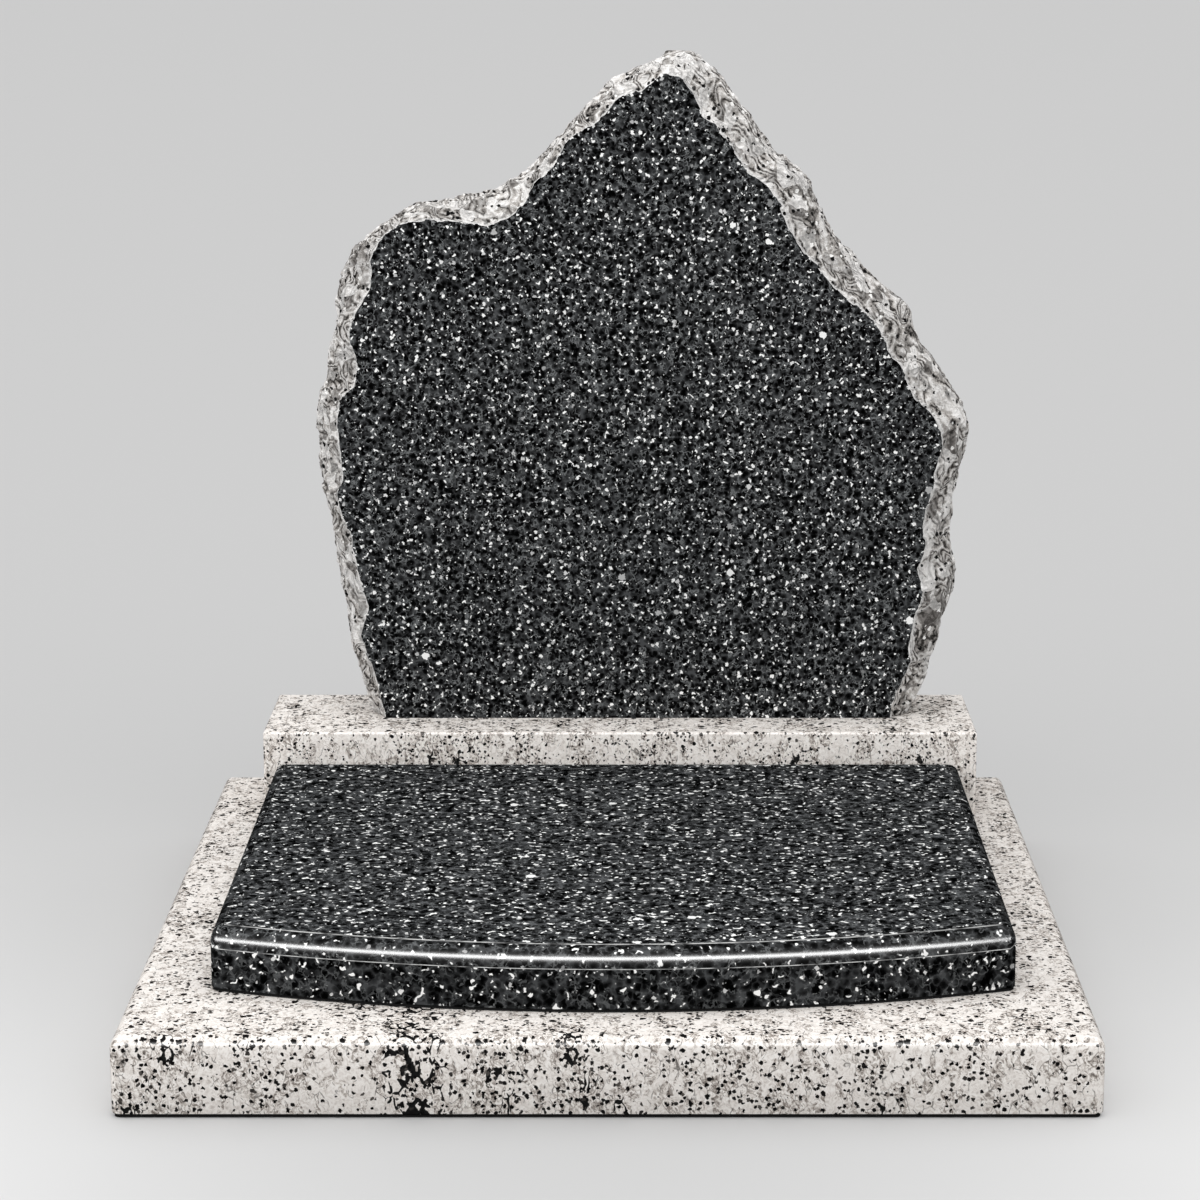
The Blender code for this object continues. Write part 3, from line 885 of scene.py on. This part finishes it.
def headstone_rings():
    """Rings of the headstone: between the two drawn lines by the margin's profile, then pushed in
    by the chips along a direction that turns from the plane of the face into the normal of the
    surface."""
    where, length = even_stations(STATIONS, ROUND_COUNT)
    drawn = through_stations(STATIONS, where)
    size = STONE_HIGH - STONE_LOW
    scale = np.array([size[0] / DRAWN_WIDTH, size[2] / DRAWN_HEIGHT])
    face = drawn[:, :2] * scale
    wide = drawn[:, 2:] * scale
    thick = size[1]

    fine = np.linspace(0.0, len(MARGIN_PROFILE) - 1.0, PROFILE_STEPS)
    profile = through_stations(MARGIN_PROFILE, fine)
    step = np.linalg.norm(np.diff(profile * (thick, MARGIN_REACH), axis=0), axis=1)
    walked = np.concatenate([[0.0], np.cumsum(step)])
    across = np.linspace(0.0, walked[-1], MARGIN_RINGS)
    share_back = np.interp(across, walked, profile[:, 0])
    share_out = np.interp(across, walked, profile[:, 1])

    flat = face[None] + (wide - face)[None] * share_out[:, None, None]
    depth = np.broadcast_to((STONE_LOW[1] + share_back * thick)[:, None], flat.shape[:2])
    rings = np.stack([flat[..., 0], depth, flat[..., 1]], axis=-1)

    along = np.gradient((face + wide) / 2, axis=0)
    along /= np.linalg.norm(along, axis=1, keepdims=True)
    out_of_plane = np.stack([-along[:, 1], np.zeros(len(along)), along[:, 0]], axis=-1)
    normal = np.cross(np.gradient(rings, axis=0), np.gradient(rings, axis=1))
    normal /= np.linalg.norm(normal, axis=-1, keepdims=True) + 1e-12
    normal *= np.sign(np.sum(normal * out_of_plane[None], axis=-1, keepdims=True) + 1e-9)
    edge = np.minimum(across, walked[-1] - across)
    lean = np.clip(edge / LEAN_REACH, 0.0, 1.0)[:, None, None]
    push = out_of_plane[None] * (1 - lean) + normal * lean
    push /= np.linalg.norm(push, axis=-1, keepdims=True)

    s = np.linspace(0.0, length / 1000.0, ROUND_COUNT)[None] + np.zeros((MARGIN_RINGS, 1))
    t = across[:, None] + np.zeros((1, ROUND_COUNT))
    sway = (waves(s, t, SWAY_SIZE, 5) - 0.5) * SWAY_REACH
    slant = s + t * SLANT + sway
    chips = 0.0
    for wide_bowl, high_bowl, seed, swaying, deep, least in BOWL_SIZES:
        hollow, owner = bowls(slant, t + sway * swaying, wide_bowl, high_bowl, seed)
        chips = chips + deep * (1.0 - np.clip(hollow, 0, 1)) * (least + owner)
    chips = chips + GRAIN_DEPTH * waves(s, t, GRAIN_SIZE, 71)
    calm = CALM_LEAST + (1.0 - CALM_LEAST) * np.clip(edge / CALM_REACH, 0.0, 1.0)
    chips = (chips - chips.mean() * GIVEN_BACK) * calm[:, None]
    rings = rings - push * chips[..., None]
    rings[0, :, 1] = STONE_LOW[1]
    rings[-1, :, 1] = STONE_HIGH[1]
    rings[..., 1] = np.clip(rings[..., 1], STONE_LOW[1], STONE_HIGH[1])
    rings[..., 2] = np.clip(rings[..., 2], 0.0, size[2])
    rings[:, 0, 2] = 0.0
    rings[:, -1, 2] = 0.0

    mix = np.linspace(0.0, 1.0, FOOT_COUNT + 2)[1:-1][None, :, None]
    foot = rings[:, -1:, :] * (1 - mix) + rings[:, :1, :] * mix
    rings = np.concatenate([rings, foot], axis=1)[:, ::-1]
    return rings + (STONE_MIDDLE, 0.0, STONE_LOW[2]), np.exp(-across / BRUISE_REACH)


# %% [markdown]
# The polished face and the sawn back are the two lids of this stack, and the split margin is all
# that lies between them. Each point keeps a number that says how near it is to the face: the recipe
# of the margin reads it.

# %% Headstone
FACE_SLOT, MARGIN_SLOT, BACK_SLOT = range(3)

stone_rings, nearness = headstone_rings()
headstone = stone_from_rings(
    "headstone_stone", stone_rings, [face_granite, margin_granite, back_granite],
    band_slots=np.full((MARGIN_RINGS - 1, ROUND_COUNT + FOOT_COUNT), MARGIN_SLOT),
    lid_slots=(FACE_SLOT, BACK_SLOT))
near_face = headstone.data.attributes.new("near_face", "FLOAT", "POINT")
near_face.data.foreach_set("value", np.repeat(nearness, ROUND_COUNT + FOOT_COUNT).astype(np.float32))
place_of_stone(headstone, "headstone")

# %% [markdown]
# ## The floor and the light of the studio
#
# The memorial stands on a pale floor that runs on until it leaves the picture, because the camera
# looks down on it. Soft light comes from all round. A large soft box overhead brightens the tops,
# and a second one lifts the left side. Both leave the floor out, so it stays an even grey behind
# the stone. Two small boxes with grids hang over the floor in front, left and right of the base
# slab, and brighten the floor alone.

# %% Floor
FLOOR_HALF = 60.0
FLOOR_CORNERS = ((-1, -1), (1, -1), (1, 1), (-1, 1))

floor_mesh = bpy.data.meshes.new("studio floor")
floor_corners = [(x * FLOOR_HALF, y * FLOOR_HALF, 0.0) for x, y in FLOOR_CORNERS]
floor_mesh.from_pydata(floor_corners, [], [(0, 1, 2, 3)])
floor_mesh.materials.append(StoneRecipe("studio paper").finish((0.69, 0.69, 0.69, 1.0), 0.9))
floor = bpy.data.objects.new("studio_floor", floor_mesh)
scene.collection.objects.link(floor)
print("the floor is", 2 * FLOOR_HALF, "m wide")

# %% [markdown]
# Polished stone would mirror the bright floor and the pale stones beside it and turn milky, so none
# of them shows in the polish, and the bright air of the studio does not either. One long box in
# front and above shows in the polish of the slabs alone: it draws the bright line on the nose of
# the cover slab and on the slabs' edges.

# %% What stays out of the polish
for surface in (base_slab, cover_slab, plinth, headstone, floor):
    surface.visible_glossy = False


# %% Helper: soft boxes
def lit_group(name, pieces, link_state):
    """A group for light linking: a lamp either lights these pieces alone, or leaves them out."""
    group = bpy.data.collections.new(name)
    for piece in pieces:
        group.objects.link(piece)
    for member in group.collection_objects:
        member.light_linking.link_state = link_state
    return group


def soft_box(name, place, turn, width, height, power, lit, in_polish=False, in_body=True, spread=180.0):
    """A rectangular area light. turn is two angles in degrees from looking straight down: about X,
    then about Z. It can show in the polish, light the body colour, or both. A grid narrows its
    spread, in degrees."""
    data = bpy.data.lights.new(name, "AREA")
    data.shape = "RECTANGLE"
    data.size = width
    data.size_y = height
    data.energy = power
    data.spread = math.radians(spread)
    lamp = bpy.data.objects.new(name, data)
    lamp.location = place
    lamp.rotation_euler = (math.radians(turn[0]), 0.0, math.radians(turn[1]))
    lamp.visible_glossy = in_polish
    lamp.visible_diffuse = in_body
    lamp.light_linking.receiver_collection = lit
    scene.collection.objects.link(lamp)


# %% Lamps
stone_only = lit_group("all but the floor", [floor], "EXCLUDE")
floor_only = lit_group("the floor alone", [floor], "INCLUDE")
slabs_only = lit_group("slabs and plinth", [base_slab, cover_slab, plinth], "INCLUDE")
soft_box("overhead box", (0.0, -0.15, 2.9), (0.0, 0.0), 2.6, 2.6, 44.0, stone_only)
soft_box("left box", (-2.8, -0.9, 1.5), (70.0, -72.0), 2.0, 2.0, 25.0, stone_only)
for side in (-1, 1):
    soft_box("floor box", (side * 1.6, -0.9, 1.8), (0.0, 0.0), 1.2, 0.9, 8.0, floor_only, spread=84.0)
soft_box(
    "polish box", (-0.8, -2.70, 2.35), (47.0, 0.0), 7.5, 1.0, 380.0, slabs_only,
    in_polish=True, in_body=False)

# %% The air of the studio
AIR_STRENGTH = 0.96

world = bpy.data.worlds.new("studio air")
world.use_nodes = True
background = world.node_tree.nodes["Background"]
background.inputs["Color"].default_value = (1.0, 1.0, 1.0, 1.0)
background.inputs["Strength"].default_value = AIR_STRENGTH
scene.world = world
world.cycles_visibility.glossy = False
scene.view_settings.view_transform = "Standard"
scene.cycles.max_bounces = 3
scene.cycles.diffuse_bounces = 2
scene.cycles.glossy_bounces = 2
print("air at", AIR_STRENGTH, "and at most", scene.cycles.max_bounces, "bounces")
